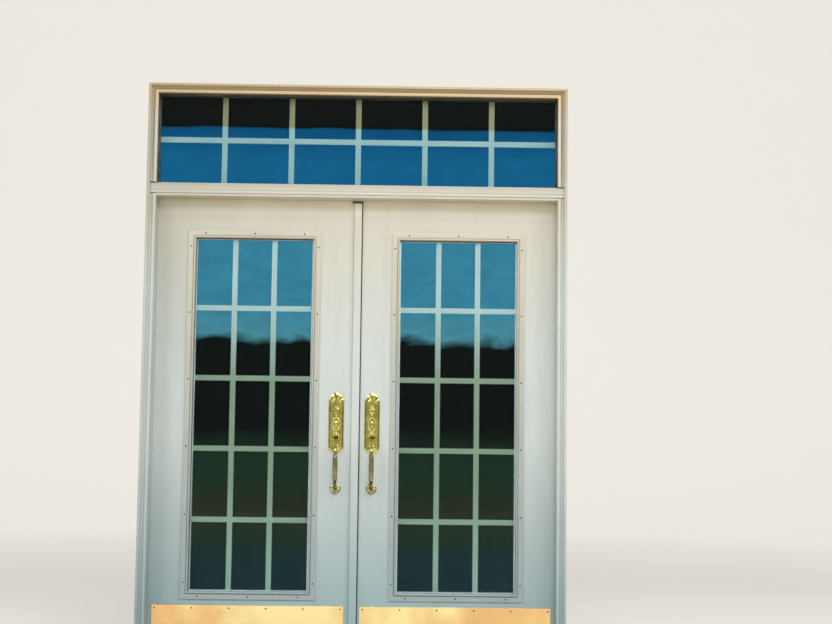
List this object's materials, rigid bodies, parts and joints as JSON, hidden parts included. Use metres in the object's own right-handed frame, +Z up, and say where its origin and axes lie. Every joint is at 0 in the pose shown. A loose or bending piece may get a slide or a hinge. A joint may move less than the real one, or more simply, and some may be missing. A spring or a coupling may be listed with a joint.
{
  "type": "double door",
  "caption": "Inswing double front door with divided full lites, brass handlesets and kick plates, under a divided transom, in its cased frame.",
  "frame": {"origin": "middle of the sill's underside, in the plane of the jambs' exterior edge", "axes": "+X to the right seen from outdoors, +Y into the house, +Z up"},
  "size_m": [1.9178, 0.2066, 2.5865],
  "materials": {
    "painted_wood": "satin cream paint",
    "painted_skin": "satin cream paint",
    "painted_plastic": "satin cream paint",
    "clear_glass": "clear float glass",
    "spacer_aluminium": "mill finish",
    "mill_aluminium": "mill finish",
    "grille_paint": "pale satin enamel",
    "sill_cap_plastic": "moulded",
    "seal_rubber": "matt",
    "hinge_steel": "brass plated",
    "screw_steel": "zinc plated",
    "polished_brass": "polished and lacquered"
  },
  "bodies": {
    "frame": {"left_jamb": "painted_wood", "right_jamb": "painted_wood", "head_jamb": "painted_wood", "sill": "mill_aluminium", "sill_cap": "sill_cap_plastic", "transom_side_jambs": "painted_wood", "transom_head_jamb": "painted_wood", "transom_sill_jamb": "painted_wood", "casing_left": "painted_wood", "casing_right": "painted_wood", "casing_head": "painted_wood", "mull_cover": "painted_wood", "door_weatherstrip": "seal_rubber", "transom_glass": "clear_glass", "transom_spacer": "spacer_aluminium", "transom_grille": "grille_paint", "transom_stops": "painted_wood", "frame_hinge_leaves": "hinge_steel", "hinge_pins": "hinge_steel", "flush_bolt_strikes": "hinge_steel"},
    "inactive_door": {"inactive_leaf": "painted_skin", "inactive_lite_frame_outside": "painted_plastic", "inactive_lite_frame_inside": "painted_plastic", "inactive_lite_glass": "clear_glass", "inactive_lite_spacer": "spacer_aluminium", "inactive_lite_grille": "grille_paint", "inactive_lite_screws": "screw_steel", "inactive_kick_plate": "polished_brass", "inactive_kick_screws": "polished_brass", "inactive_sweep": "seal_rubber", "inactive_hinge_leaves": "hinge_steel", "astragal": "painted_skin", "astragal_seal": "seal_rubber", "inactive_escutcheon": "polished_brass", "inactive_grip": "polished_brass", "inactive_inside_trim": "polished_brass", "strike_plates": "polished_brass"},
    "active_door": {"active_leaf": "painted_skin", "active_lite_frame_outside": "painted_plastic", "active_lite_frame_inside": "painted_plastic", "active_lite_glass": "clear_glass", "active_lite_spacer": "spacer_aluminium", "active_lite_grille": "grille_paint", "active_lite_screws": "screw_steel", "active_kick_plate": "polished_brass", "active_kick_screws": "polished_brass", "active_sweep": "seal_rubber", "active_hinge_leaves": "hinge_steel", "active_escutcheon": "polished_brass", "active_grip": "polished_brass", "bolt_cases": "screw_steel", "active_inside_plate": "polished_brass"},
    "top_flush_bolt_body": {"top_flush_bolt": "screw_steel"},
    "bottom_flush_bolt_body": {"bottom_flush_bolt": "screw_steel"},
    "thumb_piece_body": {"active_thumb_piece": "polished_brass"},
    "key_plug_body": {"key_plug": "polished_brass"},
    "latch_bolt_body": {"latch_bolt": "polished_brass"},
    "deadbolt_body": {"deadbolt": "polished_brass"},
    "inside_knob_body": {"active_inside_knob": "polished_brass"},
    "thumb_turn_body": {"thumb_turn": "polished_brass"}
  },
  "joints": [
    {"name": "active_leaf_swing", "type": "hinge", "parent": "frame", "child": "active_door", "pos_m": [0.9271, 0.12285, 0], "axis": [0, 0, -1], "range_deg": [0, 110]},
    {"name": "inactive_leaf_swing", "type": "hinge", "parent": "frame", "child": "inactive_door", "pos_m": [-0.9271, 0.12285, 0], "axis": [0, 0, 1], "range_deg": [0, 90]},
    {"name": "inside_knob_turn", "type": "hinge", "parent": "active_door", "child": "inside_knob_body", "pos_m": [0.0816, 0.12, 0.9585], "axis": [0, 1, 0], "range_deg": [0, 60]},
    {"name": "latch_bolt_slide", "type": "slide", "parent": "active_door", "child": "latch_bolt_body", "axis": [-1, 0, 0], "range_m": [0, 0.0127]},
    {"name": "thumb_press", "type": "hinge", "parent": "active_door", "child": "thumb_piece_body", "pos_m": [0.0816, 0.06795, 0.9785], "axis": [-1, 0, 0], "range_deg": [0, 15]},
    {"name": "thumb_turn_turn", "type": "hinge", "parent": "active_door", "child": "thumb_turn_body", "pos_m": [0.0816, 0.12, 1.0982], "axis": [0, 1, 0], "range_deg": [0, 90]},
    {"name": "deadbolt_slide", "type": "slide", "parent": "active_door", "child": "deadbolt_body", "axis": [-1, 0, 0], "range_m": [0, 0.0254]},
    {"name": "key_plug_turn", "type": "hinge", "parent": "active_door", "child": "key_plug_body", "pos_m": [0.0816, 0.07, 1.0982], "axis": [0, 1, 0], "range_deg": [0, 90]},
    {"name": "top_flush_bolt_slide", "type": "slide", "parent": "inactive_door", "child": "top_flush_bolt_body", "axis": [0, 0, 1], "range_m": [0, 0.019]},
    {"name": "bottom_flush_bolt_slide", "type": "slide", "parent": "inactive_door", "child": "bottom_flush_bolt_body", "axis": [0, 0, -1], "range_m": [0, 0.019]}
  ],
  "couplings": [
    {"joint": "inactive_leaf_swing", "follows": "active_leaf_swing", "ratio": 0.818},
    {"joint": "latch_bolt_slide", "follows": "inside_knob_turn", "m_per_rad": 0.012127},
    {"joint": "thumb_press", "follows": "inside_knob_turn", "ratio": 0.25},
    {"joint": "deadbolt_slide", "follows": "thumb_turn_turn", "m_per_rad": 0.016169},
    {"joint": "key_plug_turn", "follows": "thumb_turn_turn", "ratio": 1}
  ]
}
